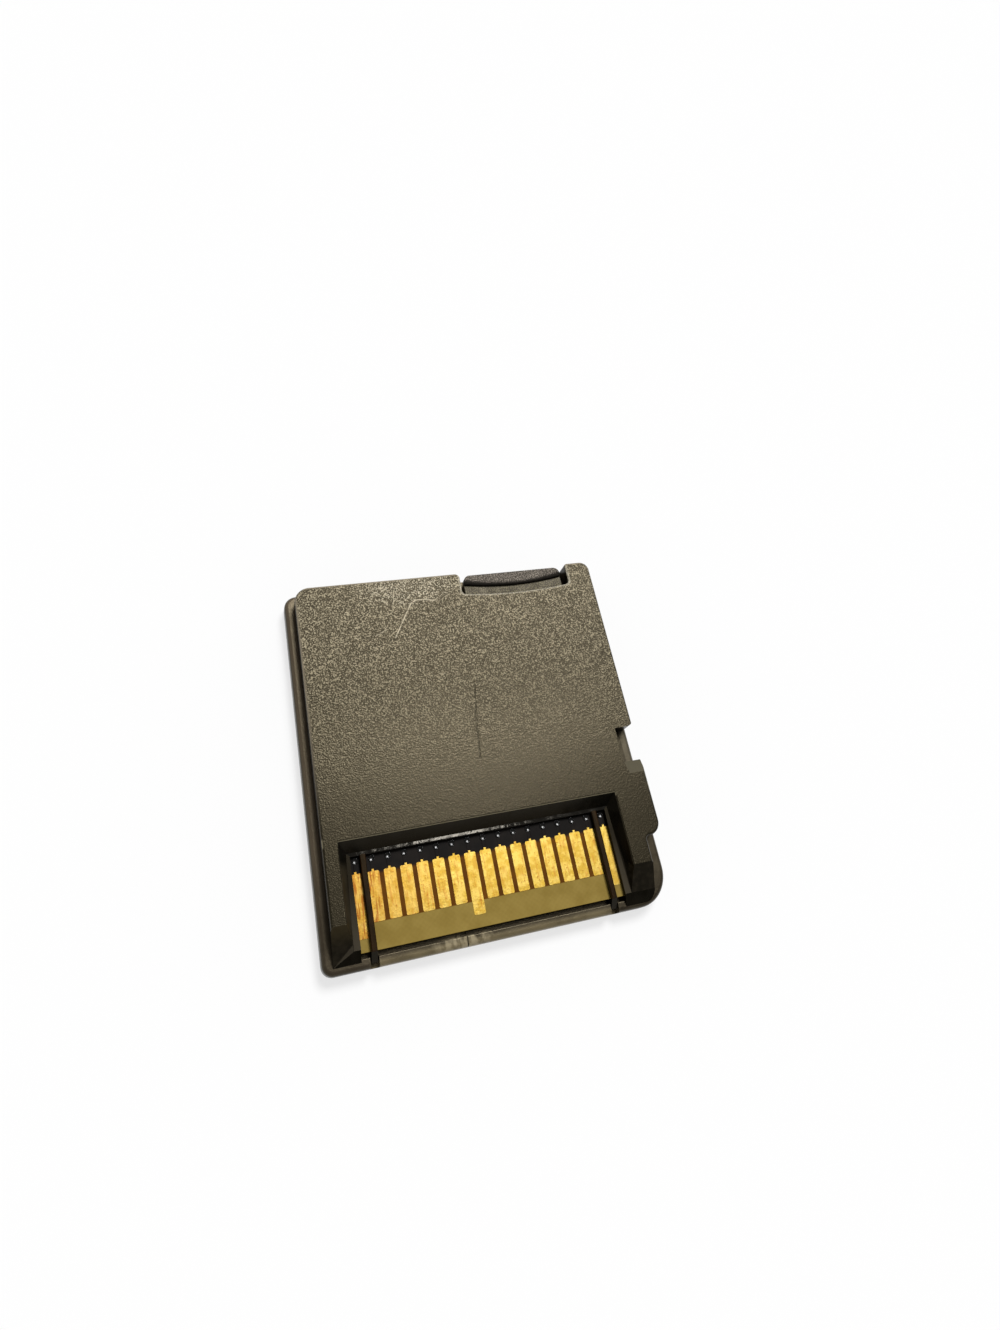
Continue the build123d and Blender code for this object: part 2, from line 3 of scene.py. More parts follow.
import bpy
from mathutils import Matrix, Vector


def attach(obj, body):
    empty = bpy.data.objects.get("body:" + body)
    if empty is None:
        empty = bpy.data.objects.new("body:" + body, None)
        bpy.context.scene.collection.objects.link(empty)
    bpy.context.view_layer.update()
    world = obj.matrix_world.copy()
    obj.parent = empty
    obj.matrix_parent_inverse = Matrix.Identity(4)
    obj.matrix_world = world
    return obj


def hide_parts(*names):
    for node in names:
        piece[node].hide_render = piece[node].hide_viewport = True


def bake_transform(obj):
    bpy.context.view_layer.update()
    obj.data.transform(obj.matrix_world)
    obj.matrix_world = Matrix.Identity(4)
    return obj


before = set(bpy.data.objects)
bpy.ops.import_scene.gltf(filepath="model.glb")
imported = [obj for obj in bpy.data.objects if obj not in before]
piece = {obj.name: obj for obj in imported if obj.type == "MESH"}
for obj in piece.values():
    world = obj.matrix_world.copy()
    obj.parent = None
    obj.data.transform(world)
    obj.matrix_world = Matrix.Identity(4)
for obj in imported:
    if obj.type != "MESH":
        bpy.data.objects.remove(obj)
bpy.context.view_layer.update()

# Front shell: the lower half of the case, moulded in satin black plastic. It carries the board on a shelf,
# and its end bar closes the contact window. The bar is given painted light, is rubbed and given a painted
# sheen in the middle, and keeps the short line left by the moulding gate. Its ledges and the lock notch's
# floor carry painted light, and a line of painted shade runs along the notch's inner wall.

MM = 0.001


def tone(red, green, blue):
    """A colour seen on screen, from 0 to 255, as light."""
    seen = [value / 255 for value in (red, green, blue)]
    return tuple(v / 12.92 if v <= 0.04045 else ((v + 0.055) / 1.055) ** 2.4 for v in seen)


class Finish:
    """The surface of one material, with its patterns measured in millimetres from the part's origin."""

    def __init__(self, name, colour, roughness, metal=0.0):
        self.material = bpy.data.materials.new(name)
        self.material.use_nodes = True
        self.tree = self.material.node_tree
        self.shader = self.tree.nodes["Principled BSDF"]
        self.set("Base Color", (*colour, 1))
        self.set("Roughness", roughness)
        self.set("Metallic", metal)
        coordinates = self.add("ShaderNodeTexCoord").outputs
        self.place = self.vector("SCALE", {0: coordinates["Object"], 3: 1 / MM})[0]
        self.x, self.y, self.z = self.add("ShaderNodeSeparateXYZ", {0: self.place}).outputs
        self.upward = self.add("ShaderNodeSeparateXYZ", {0: coordinates["Normal"]}).outputs["Z"]

    def add(self, kind, feeds=None, **settings):
        """A node with its settings, and its inputs set or linked."""
        node = self.tree.nodes.new(kind)
        for key, value in settings.items():
            setattr(node, key, value)
        for key, value in (feeds or {}).items():
            if isinstance(value, bpy.types.NodeSocket):
                self.tree.links.new(value, node.inputs[key])
            else:
                node.inputs[key].default_value = value
        return node

    def set(self, name, value):
        """Sets or links one input of the shader."""
        if isinstance(value, bpy.types.NodeSocket):
            self.tree.links.new(value, self.shader.inputs[name])
        else:
            self.shader.inputs[name].default_value = value

    def sum(self, operation, *values):
        """One step of arithmetic."""
        return self.add("ShaderNodeMath", dict(enumerate(values)), operation=operation).outputs[0]

    def vector(self, operation, feeds):
        """One step of arithmetic on places."""
        return self.add("ShaderNodeVectorMath", feeds, operation=operation).outputs

    def rise(self, value, low, high, least=0.0, most=1.0):
        """Goes smoothly from least to most as the value goes from low to high."""
        feeds = {0: value, 1: low, 2: high, 3: least, 4: most}
        return self.add("ShaderNodeMapRange", feeds, interpolation_type="SMOOTHSTEP").outputs[0]

    def mottle(self, size, detail=2.0, stretch=(1, 1, 1)):
        """Cloudy noise with patches of about the given size."""
        place = self.vector("MULTIPLY", {0: self.place, 1: stretch})[0]
        feeds = {"Vector": place, "Scale": 1 / size, "Detail": detail}
        return self.add("ShaderNodeTexNoise", feeds).outputs[0]

    def blend(self, share, first, second):
        """A colour between two others."""
        first, second = [(*c, 1) if isinstance(c, tuple) else c for c in (first, second)]
        return self.add("ShaderNodeMix", {0: share, 6: first, 7: second}, data_type="RGBA").outputs[2]

    def stroke(self, points, half_width):
        """One along a line on the XY plane, and zero beside it."""
        flat = self.vector("MULTIPLY", {0: self.place, 1: (1, 1, 0)})[0]
        nearest = None
        for (x0, y0), (x1, y1) in zip(points, points[1:]):
            run = (x1 - x0, y1 - y0, 0)
            square = run[0] ** 2 + run[1] ** 2
            away = self.vector("SUBTRACT", {0: flat, 1: (x0, y0, 0)})[0]
            unit = (run[0] / square, run[1] / square, 0)
            along = self.vector("DOT_PRODUCT", {0: away, 1: unit})[1]
            along = self.add("ShaderNodeClamp", {0: along}).outputs[0]
            foot = self.vector("SCALE", {0: run, 3: along})[0]
            gap = self.vector("DISTANCE", {0: away, 1: foot})[1]
            nearest = gap if nearest is None else self.sum("MINIMUM", nearest, gap)
        return self.rise(nearest, half_width * 0.3, half_width, 1.0, 0.0)

    def spot(self, x, y, half_x, half_y):
        """One in the middle of an oval on the XY plane, fading to zero at its rim."""
        dx = self.sum("POWER", self.sum("DIVIDE", self.sum("SUBTRACT", self.x, x), half_x), 2.0)
        dy = self.sum("POWER", self.sum("DIVIDE", self.sum("SUBTRACT", self.y, y), half_y), 2.0)
        return self.rise(self.sum("ADD", dx, dy), 0.0, 1.0, 1.0, 0.0)

    def off_arc(self, x, y, radius):
        """How far outside a circle on the XY plane a point lies."""
        flat = self.vector("MULTIPLY", {0: self.place, 1: (1, 1, 0)})[0]
        away = self.vector("DISTANCE", {0: flat, 1: (x, y, 0)})[1]
        return self.sum("SUBTRACT", away, radius)

    def between(self, value, low, high, soft):
        """One between two limits, fading to zero past them."""
        above = self.rise(value, low - soft, low)
        return self.sum("MULTIPLY", above, self.rise(value, high, high + soft, 1.0, 0.0))

    def relief(self, height, depth):
        """Small relief of a given depth."""
        bump = self.add("ShaderNodeBump", {"Height": height, "Distance": depth * MM, "Strength": 1.0})
        self.set("Normal", bump.outputs[0])

    def put_on(self, name, where=None):
        """Gives a CAD node this material, or only those of its faces that where(centre, normal) picks."""
        mesh = piece[name].data
        if where is None:
            mesh.materials.clear()
        mesh.materials.append(self.material)
        if where is not None:
            for face in mesh.polygons:
                if where(face.center / MM, face.normal):
                    face.material_index = len(mesh.materials) - 1


case_tint = (1.0, 0.84, 0.55, 1)
satin_black = tone(26, 23, 17)
satin_brown = tone(40, 36, 28)
bar_painted_light = tone(112, 101, 76)
lock_floor_painted_light = tone(78, 73, 62)
ledge_painted_light = tone(92, 81, 67)
rubbed_sheen_pale = tone(158, 146, 118)
notch_shade_black = tone(7, 6, 4)
gate_black = tone(8, 7, 5)
lock_y = (-5.7, -1.07)
lock_x = (14.3, 14.5)
notch_shade_x = (15.55, 15.7)
ledge_y = (-16, -6)
ledge_x = (-10, -8)
bar_x = (-12.0, 10.6)
bar_y = -17.0
bar_gate_x = -3.74
bar_sheen_x = -4.0

front = Finish("front_case_plastic", satin_black, 0.32)
front.set("Specular Tint", case_tint)
front.set("Specular IOR Level", 0.38)
satin = front.mottle(0.2, 1.0)
smear = front.mottle(1.3, 3.0, (0.5, 1, 1))
# Rubbed patch in the middle of the bar: real wear, painted paler as a painted sheen.
rubbed_sheen = front.spot(bar_sheen_x, bar_y, 3.4, 1.0)
rubbed_sheen = front.sum("MULTIPLY", rubbed_sheen, front.rise(front.mottle(0.5, 3.0, (1, 0.5, 1)), 0.35, 0.6))
gate = front.stroke([(bar_gate_x, bar_y - 1), (bar_gate_x + 0.05, bar_y + 0.9)], 0.08)
# Painted light: the end bar is painted a lighter brown, standing in for the light on its faces.
bar_painted_light_mask = front.rise(front.y, bar_y - 0.2, bar_y + 0.3, 1.0, 0.0)
bar_painted_light_mask = front.sum("MULTIPLY", bar_painted_light_mask, front.between(front.x, *bar_x, 0.6))
bar_painted_light_mask = front.sum("MULTIPLY", bar_painted_light_mask, front.rise(smear, 0.3, 0.65, 0.6, 1.0))
front_colour = front.blend(front.rise(smear, 0.35, 0.65), satin_black, satin_brown)
# Painted light: the ledges' top faces are painted paler towards the upper end and the left, where light falls
# on them.
lit_ledge = front.sum("MULTIPLY", front.rise(front.upward, 0.5, 0.95), front.rise(front.y, *ledge_y, 0.3, 1.0))
lit_ledge = front.sum("MULTIPLY", lit_ledge, front.rise(front.x, *ledge_x, 1.0, 0.4))
front_colour = front.blend(lit_ledge, front_colour, ledge_painted_light)
front_colour = front.blend(bar_painted_light_mask, front_colour, bar_painted_light)
# Painted light: the lock notch's floor is painted paler grey where light falls on it.
in_lock = front.sum("MULTIPLY", front.between(front.y, *lock_y, 0.3), front.rise(front.x, *lock_x))
in_lock = front.sum("MULTIPLY", in_lock, front.rise(front.upward, 0.6, 0.9))
front_colour = front.blend(front.sum("MULTIPLY", in_lock, 0.85), front_colour, lock_floor_painted_light)
# Painted shade: a dark line along the notch's inner wall, where the rear shell's wall shades the floor.
notch_shade = front.sum("MULTIPLY", in_lock, front.rise(front.x, *notch_shade_x, 1.0, 0.0))
front_colour = front.blend(notch_shade, front_colour, notch_shade_black)
front_colour = front.blend(front.sum("MULTIPLY", rubbed_sheen, 0.8), front_colour, rubbed_sheen_pale)
front.set("Base Color", front.blend(gate, front_colour, gate_black))
front.set("Roughness", front.rise(smear, 0.3, 0.7, 0.28, 0.36))
front.relief(front.sum("MULTIPLY_ADD", gate, -2.0, satin), 0.012)
front.put_on("front_shell")

# Label: a bare satin paper sticker, a little darker where it was handled. It lies in the recess of the
# front face, held by its own glue.

paper_tones = (tone(196, 194, 186), tone(212, 210, 204))
handled_paper = tone(176, 172, 160)

label = Finish("label_paper", tone(205, 203, 196), 0.5)
fibre = label.mottle(0.12, 4.0, (1, 0.35, 1))
handled = label.rise(label.mottle(5.0, 3.0), 0.45, 0.75)
label_paper = label.blend(label.rise(fibre, 0.3, 0.7), *paper_tones)
label.set("Base Color", label.blend(label.sum("MULTIPLY", handled, 0.35), label_paper, handled_paper))
label.set("Roughness", label.rise(handled, 0, 1, 0.42, 0.58))
label.relief(fibre, 0.004)
label.put_on("label")

# Circuit board: glass laminate on the case's shelf, bare and olive at its end, amber between the contacts,
# and under black solder mask further in. Each contact's track runs under the mask to a small via.

contact_pitch = 1.5
contact_middle_x = -0.695
contact_count = 17
mask_edge_y = -9.95
contact_end_y = -14.02
via_y = -8.75
weave_x, weave_y = 0.52, 0.46
olive_tones = (tone(138, 116, 53), tone(150, 128, 64))
olive_thread = tone(117, 98, 50)
amber_tones = (tone(88, 50, 2), tone(104, 62, 5))
mask_tones = (tone(19, 16, 14), tone(30, 26, 23))

board = Finish("board_laminate", tone(139, 118, 60), 0.45)
board.set("Specular IOR Level", 0.05)
masked = board.rise(board.y, mask_edge_y - 0.3, mask_edge_y + 0.1)
beside = board.rise(board.y, contact_end_y - 0.05, contact_end_y + 0.05)
across = board.sum("SINE", board.sum("MULTIPLY", board.x, 2 * math.pi / weave_x))
along = board.sum("SINE", board.sum("MULTIPLY", board.y, 2 * math.pi / weave_y))
weave = board.sum("MULTIPLY", across, along)
cloud = board.mottle(1.6, 3.0)
olive = board.blend(board.rise(cloud, 0.3, 0.7), *olive_tones)
olive = board.blend(board.rise(weave, -1, 1, 0.0, 0.12), olive, olive_thread)
amber = board.blend(board.rise(cloud, 0.3, 0.7), *amber_tones)
bare = board.blend(beside, olive, amber)
mask_black = board.blend(board.rise(cloud, 0.35, 0.7), *mask_tones)
board.set("Base Color", board.blend(masked, bare, mask_black))
board.set("Roughness", board.rise(cloud, 0.3, 0.7, 0.4, 0.5))
from_track = board.sum("PINGPONG", board.sum("SUBTRACT", board.x, contact_middle_x), contact_pitch / 2)
track = board.rise(from_track, 0.12, 0.22, 1.0, 0.0)
track = board.sum("MULTIPLY", track, board.rise(board.y, via_y - 0.05, via_y + 0.05, 1.0, 0.0))
track = board.sum("MULTIPLY", track, masked)
ripple = board.sum("MULTIPLY_ADD", board.mottle(0.35, 2.0), board.rise(masked, 0, 1, 0.2, 0.35), track)
board.relief(board.sum("MULTIPLY_ADD", weave, board.rise(masked, 0, 1, 0.05, 0.0), ripple), 0.012)
board.put_on("circuit_board")

# Vias: plated holes over the contacts, closed by the solder mask. Each shows as a small glossy dish
# with a low rim, which catches the light.

via_tones = (tone(8, 8, 7), tone(22, 20, 18))
via_ring = 0.25
via_rim = 0.035
via_lift = 1.3 * via_rim
via_bend = 0.673
via_board_z = 2.0
ring_sides = 24
rim_sides = 10
dish_rings = 33
dish_margin = 0.01

via_finish = Finish("via_mask", tone(12, 11, 10), 0.14)
via_cloud = via_finish.mottle(0.3, 2.0)
via_finish.set("Base Color", via_finish.blend(via_cloud, *via_tones))
via_finish.set("Roughness", via_finish.rise(via_cloud, 0.3, 0.7, 0.1, 0.2))


def row_of_vias():
    """A row of dishes along X, each with a round rim."""
    tree = bpy.data.node_groups.new("via_row", "GeometryNodeTree")
    face = tree.interface
    face.new_socket("Geometry", in_out="OUTPUT", socket_type="NodeSocketGeometry")
    sizes = {"Pitch": contact_pitch * MM, "Ring": via_ring * MM, "Rim": via_rim * MM, "Bend": via_bend * MM}
    ids = {}
    for name in sizes:
        ids[name] = face.new_socket(name, in_out="INPUT", socket_type="NodeSocketFloat").identifier
    given = tree.nodes.new("NodeGroupInput").outputs
    result = tree.nodes.new("NodeGroupOutput").inputs

    def node(kind, feeds, **settings):
        made = tree.nodes.new(kind)
        for key, value in settings.items():
            setattr(made, key, value)
        for key, value in feeds.items():
            if isinstance(value, bpy.types.NodeSocket):
                tree.links.new(value, made.inputs[key])
            else:
                made.inputs[key].default_value = value
        return made.outputs

    ring = node("GeometryNodeCurvePrimitiveCircle", {"Resolution": ring_sides, "Radius": given["Ring"]})
    rim = node("GeometryNodeCurvePrimitiveCircle", {"Resolution": rim_sides, "Radius": given["Rim"]})
    tube = node("GeometryNodeCurveToMesh", {"Curve": ring["Curve"], "Profile Curve": rim["Curve"]})
    round_sizes = {"Segments": ring_sides, "Rings": dish_rings, "Radius": given["Bend"]}
    ball = node("GeometryNodeMeshUVSphere", round_sizes)
    spot = node("ShaderNodeSeparateXYZ", {0: node("GeometryNodeInputPosition", {})[0]})
    rim_cosine = math.sqrt(1 - (via_ring / via_bend) ** 2)
    brim = node("ShaderNodeMath", {0: given["Bend"], 1: -rim_cosine + dish_margin}, operation="MULTIPLY")
    above = node("FunctionNodeCompare", {0: spot["Z"], 1: brim[0]}, operation="GREATER_THAN")
    dish = node("GeometryNodeDeleteGeometry", {0: ball["Mesh"], 1: above[0]})
    dish = node("GeometryNodeFlipFaces", {0: dish[0]})
    lift = node("ShaderNodeMath", {0: given["Bend"], 1: rim_cosine}, operation="MULTIPLY")
    upward = node("ShaderNodeCombineXYZ", {"Z": lift[0]})
    dish = node("GeometryNodeTransform", {"Geometry": dish[0], "Translation": upward[0]})
    via = node("GeometryNodeJoinGeometry", {0: tube["Mesh"]})
    tree.links.new(dish[0], via[0].node.inputs[0])
    start = (contact_middle_x - (contact_count - 1) / 2 * contact_pitch) * MM
    first = (start, via_y * MM, (via_board_z + via_lift) * MM)
    step = node("ShaderNodeCombineXYZ", {"X": given["Pitch"]})
    row = node("GeometryNodeMeshLine", {"Count": contact_count, "Start Location": first, "Offset": step[0]})
    spread = node("GeometryNodeInstanceOnPoints", {"Points": row["Mesh"], "Instance": via[0]})
    real = node("GeometryNodeRealizeInstances", {0: spread[0]})
    smooth = node("GeometryNodeSetShadeSmooth", {0: real[0]})
    dressed = node("GeometryNodeSetMaterial", {"Geometry": smooth[0], "Material": via_finish.material})
    tree.links.new(dressed[0], result[0])
    return tree, {ids[name]: value for name, value in sizes.items()}


def grown(name, tree, inputs):
    """A plain mesh object made by a node tree."""
    seed = bpy.data.objects.new(name + "_seed", bpy.data.meshes.new(name + "_seed"))
    bpy.context.scene.collection.objects.link(seed)
    modifier = seed.modifiers.new(name, "NODES")
    modifier.node_group = tree
    for key, value in inputs.items():
        modifier[key] = value
    bpy.context.view_layer.update()
    ready = seed.evaluated_get(bpy.context.evaluated_depsgraph_get())
    mesh = bpy.data.meshes.new_from_object(ready)
    bpy.data.objects.remove(seed)
    made = bpy.data.objects.new(name, mesh)
    bpy.context.scene.collection.objects.link(made)
    return made


vias = grown("tented_vias", *row_of_vias())
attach(vias, "cartridge")

# Edge contacts: gold-plated copper fingers on the board. The plating is mottled, streaked along the way
# the connector slides, and worn to copper on the first two.

gold_deep = tone(172, 140, 54)
gold_pale = tone(191, 164, 82)
gold_orange = tone(170, 110, 46)
copper_brown = tone(132, 72, 26)
first_two_x = (-11.42, -10.23)
orange_x = (-13, -2)

gold = Finish("contact_gold", gold_deep, 0.4, 1.0)
patch = gold.mottle(0.6, 3.0)
streak = gold.mottle(0.2, 3.0, (1, 0.12, 1))
speck = gold.mottle(0.16, 1.0)
first_two = gold.rise(gold.x, *first_two_x, 1.0, 0.0)
plated = gold.blend(gold.rise(patch, 0.35, 0.65), gold_deep, gold_pale)
plated = gold.blend(gold.rise(gold.x, *orange_x, 0.3, 0.0), plated, gold_orange)
plated = gold.blend(gold.rise(streak, 0.52, 0.7, 0.0, 0.45), plated, gold_orange)
plated = gold.blend(gold.rise(speck, 0.64, 0.74, 0.0, 0.6), plated, copper_brown)
bared = gold.sum("MULTIPLY", gold.rise(streak, 0.46, 0.62), first_two)
gold.set("Base Color", gold.blend(gold.sum("MULTIPLY", bared, 0.75), plated, copper_brown))
gold.set("Roughness", gold.rise(streak, 0.3, 0.7, 0.36, 0.48))
gold.relief(gold.sum("ADD", streak, gold.sum("MULTIPLY", speck, 0.6)), 0.012)
gold.put_on("edge_contacts")

# Chips: the controller, the memory chip and the regulator, in black moulding compound, soldered on the board.
# They lie inside the closed case.


def plain_finish(name, colour, other, roughness, size, depth, metal=0.0, stretch=(1, 1, 1)):
    """A finish with two mixed colours and a fine relief."""
    made = Finish(name, colour, roughness, metal)
    fine = made.mottle(size, 3.0, stretch)
    made.set("Base Color", made.blend(made.rise(fine, 0.3, 0.7), colour, other))
    made.set("Roughness", made.rise(fine, 0.3, 0.7, roughness - 0.06, roughness + 0.08))
    made.relief(fine, depth)
    return made


chip = plain_finish("chip_compound", tone(40, 40, 42), tone(54, 53, 53), 0.55, 0.09, 0.006)
for name in ("controller_chip", "memory_chip", "voltage_regulator"):
    chip.put_on(name)

# Leads and metal ends: the chips' tinned copper leads and the tinned ends of the ceramic parts, soldered to
# the board and dull from it.

tinned = plain_finish("tinned_metal", tone(196, 196, 192), tone(166, 164, 158), 0.38, 0.1, 0.004, 1.0)
for name in ("memory_chip_leads", "regulator_leads", "capacitor_ends", "resistor_ends"):
    tinned.put_on(name)

# Crystal, inductor, capacitors and resistors: a brushed metal can, a ferrite block and ceramic chips,
# all soldered on the board.

can_tones = (tone(190, 186, 172), tone(168, 163, 148))
can = plain_finish("crystal_can", *can_tones, 0.3, 0.12, 0.003, 1.0, (0.2, 1, 1))
can.put_on("crystal")
ferrite = plain_finish("ferrite", tone(58, 57, 56), tone(78, 76, 73), 0.7, 0.08, 0.01)
ferrite.put_on("inductor")
brown_ceramic = plain_finish("capacitor_ceramic", tone(172, 138, 100), tone(150, 116, 82), 0.5, 0.1, 0.004)
brown_ceramic.put_on("capacitors")
black_ceramic = plain_finish("resistor_ceramic", tone(46, 46, 48), tone(64, 63, 62), 0.35, 0.1, 0.003)
black_ceramic.put_on("resistors")

# Card socket: a sheet-steel tray and a black moulded body with gold-plated spring terminals.
# The push-push slider is natural plastic on a coil spring, and a bent wire latches it.

steel_tones = (tone(188, 188, 184), tone(160, 159, 154))
steel = plain_finish("socket_steel", *steel_tones, 0.3, 0.06, 0.003, 1.0, (1, 0.08, 1))
for name in ("socket_shield", "detect_blade", "latch_pin"):
    steel.put_on(name)
socket_black = plain_finish("socket_plastic", tone(38, 38, 37), tone(50, 49, 46), 0.48, 0.14, 0.005)
socket_black.put_on("socket_housing")
spring_gold = plain_finish("terminal_gold", tone(232, 184, 92), tone(246, 210, 124), 0.3, 0.2, 0.002, 1.0)
for name in ("socket_terminals", "memory_card_contacts"):
    spring_gold.put_on(name)
ivory = plain_finish("slider_plastic", tone(206, 198, 180), tone(190, 181, 162), 0.45, 0.3, 0.004)
ivory.put_on("eject_slider")

# Eject spring: a coil of steel wire between the socket's back wall and the slider, held by being squeezed.

coil_x, coil_z = 14.25, 2.35
coil_y = (1.8, 5.7)
coil_wire = 0.12
coil_radius = 0.29
coil_turns = 9


def wound_coil(steps=28, sides=10):
    """A closed wire tube wound along Y."""
    climb = coil_y[1] - coil_y[0] - coil_wire
    lean = math.atan2(climb, 2 * math.pi * coil_radius * coil_turns)
    count = coil_turns * steps + 1
    points, faces = [], []
    for step in range(count):
        turn = 2 * math.pi * step / steps
        out = Vector((math.cos(turn), 0, -math.sin(turn)))
        level = Vector((-math.sin(turn), 0, -math.cos(turn)))
        forward = level * math.cos(lean) + Vector((0, math.sin(lean), 0))
        across = forward.cross(out)
        height = coil_y[0] + coil_wire / 2 + climb * step / (count - 1)
        middle = Vector((coil_x, height, coil_z)) + out * coil_radius
        for side in range(sides):
            angle = 2 * math.pi * side / sides
            ring = out * math.cos(angle) + across * math.sin(angle)
            points.append((middle + ring * coil_wire / 2) * MM)
    for step in range(count - 1):
        for side in range(sides):
            here, beside = step * sides + side, step * sides + (side + 1) % sides
            faces.append((here, here + sides, beside + sides, beside))
    faces.append(tuple(range(sides)))
    faces.append(tuple(reversed(range((count - 1) * sides, count * sides))))
    mesh = bpy.data.meshes.new("eject_coil")
    mesh.from_pydata(points, [], faces)
    for face in mesh.polygons:
        face.use_smooth = len(face.vertices) == 4
    mesh.materials.append(steel.material)
    made = bpy.data.objects.new("eject_coil", mesh)
    bpy.context.scene.collection.objects.link(made)
    return made


coil = wound_coil()
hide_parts("eject_spring")
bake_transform(coil)

# Memory card: a thin moulded card, contacts up, held in the socket, with a raised grip lip at its outer end.
# Its plastic is black with a faint purple cast on the lip, and grained like the case. The lip's inner
# edge is dull and carries a band of painted shade.

card_black = tone(20, 18, 18)
card_olive = tone(38, 35, 21)
card_pale = tone(140, 130, 121)
card_sand = tone(112, 106, 80)
card_lip_shade = tone(4, 3, 3)
card_tint = (1.0, 0.88, 0.7, 1)
card_lip_z = 2.78
card_lip_arc = (7.8, 39.594, 23.594)

card = Finish("card_plastic", card_black, 0.5)
card.set("Specular IOR Level", 0.36)
card.set("Specular Tint", card_tint)
card_grain = card.mottle(0.13, 1.0)
raised = card.rise(card.z, card_lip_z - 0.04, card_lip_z + 0.04)
card_base = card.blend(raised, card_olive, card_black)
inward = card.off_arc(*card_lip_arc)
# Painted shade: a dark band along the lip's inner edge; it is also made rougher.
lip_shade_band = card.rise(inward, -0.5, -0.12, 0.0, 0.97)
lip_shade_band = card.sum("MULTIPLY", lip_shade_band, card.rise(card.z, card_lip_z - 0.06, card_lip_z))
card_tips = card.blend(raised, card_sand, card_pale)
card_colour = card.blend(card.rise(card_grain, 0.48, 0.64, 0.0, 0.9), card_base, card_tips)
card.set("Base Color", card.blend(lip_shade_band, card_colour, card_lip_shade))
card_rough = card.rise(card.mottle(1.2, 2.0), 0.3, 0.7, 0.38, 0.5)
card.set("Roughness", card.sum("MULTIPLY_ADD", lip_shade_band, 0.45, card_rough))
card.relief(card_grain, 0.04)
card.put_on("memory_card")

# Rear shell: the upper half of the case, in black plastic, pressed onto the pegs. Its back face is grained,
# worn and given a painted sheen towards the card slot, with two scratches, a faint line where the plastic met
# in the mould, and a shiny patch with a painted highlight beside the slot. Painted highlights run along the
# window's brink, the face's left and top edges and the slot's edges, and the ramp below the lock notch is
# given painted light. The walls, legs, lip and ribs of the contact window are smooth; the left wall and left
# leg carry painted light, and the ribs painted shade and painted reflection.

case_olive = tone(26, 23, 14)
case_pale = tone(142, 133, 110)
worn_highlight_pale = tone(188, 180, 160)
case_pit = tone(11, 10, 7)
slot_olive = tone(50, 45, 33)
slot_pale = tone(164, 154, 130)
slot_pit = tone(26, 23, 16)
brink_highlight_grey = tone(118, 111, 90)
rim_highlight_grey = tone(146, 135, 116)
ramp_painted_light = tone(64, 62, 51)
scratch_pale = tone(216, 204, 178)
grain_size = 0.125
grain_depth = 0.055
long_scratch = [(-6.11, 11.17), (-4.02, 14.6), (-3.5, 14.95), (-2.6, 14.95), (-1.44, 14.7)]
short_scratch = [(-8.09, 11.51), (-6.89, 12.12)]
weld_line = [(1.01, 5.6), (0.4, 1.2), (0.1, -1.94)]
shine_x, shine_y = -4.0, 16.4
window_brink_y = -7.1
grain_fade_y = (-12, 15)
slot_end_y = (4, 15)
slot_arc = (7.71, 63.78, 49.0)
slot_x = (1.7, 13.7)
slot_sides_x = ((1.5, 1.7), (13.72, 13.9))
slot_sides_y = (15.0, 15.2)
rim_x = (-15.5, -15.3)
rim_fade_y = (-8, 8)
rim_top_y = (17.2, 17.4)
ramp_x = (14.4, 14.7)
ramp_y = (-6.6, -4.4)

rear = Finish("rear_case_plastic", case_olive, 0.34)
rear.set("Specular Tint", case_tint)
rear.set("Specular IOR Level", 0.36)
grain = rear.mottle(grain_size, 0.8)
near_slot = rear.rise(rear.y, *grain_fade_y)
edge = rear.rise(rear.upward, 0.93, 0.995, 1.0, 0.0)
shiny = rear.spot(shine_x, shine_y, 6.5, 2.4)
scratched = rear.stroke(long_scratch, 0.075)
scratched = rear.sum("MAXIMUM", scratched, rear.sum("MULTIPLY", rear.stroke(short_scratch, 0.05), 0.6))
scratched = rear.sum("MULTIPLY", scratched, rear.rise(rear.mottle(0.3, 2.0), 0.3, 0.55, 0.2, 0.95))
welded = rear.stroke(weld_line, 0.1)
# Pale grain tips, stronger towards the slot as a painted sparkle of the sheen.
tips_and_sparkle = rear.sum("MULTIPLY", rear.rise(grain, 0.47, 0.7), rear.rise(near_slot, 0, 1, 0.03, 1.0))
pits = rear.sum("MULTIPLY", rear.rise(grain, 0.36, 0.5, 1.0, 0.0), rear.rise(near_slot, 0, 1, 0.2, 1.0))
# Worn and painted sheen: the tones grow paler towards the card slot.
slot_wear_and_sheen = rear.rise(rear.y, *slot_end_y)
low_tone = rear.blend(slot_wear_and_sheen, case_olive, slot_olive)
high_tone = rear.blend(slot_wear_and_sheen, case_pale, slot_pale)
colour = rear.blend(tips_and_sparkle, low_tone, high_tone)
colour = rear.blend(pits, colour, rear.blend(slot_wear_and_sheen, case_pit, slot_pit))
# Painted highlight along the rounded brink of the window's upper edge.
brink_highlight = rear.rise(rear.sum("ABSOLUTE", rear.sum("SUBTRACT", rear.y, window_brink_y)), 0.25, 0.5, 1.0, 0.0)
brink_highlight = rear.sum("MULTIPLY", brink_highlight, rear.rise(rear.upward, 0.8, 0.999, 1.0, 0.0))
colour = rear.blend(brink_highlight, colour, brink_highlight_grey)
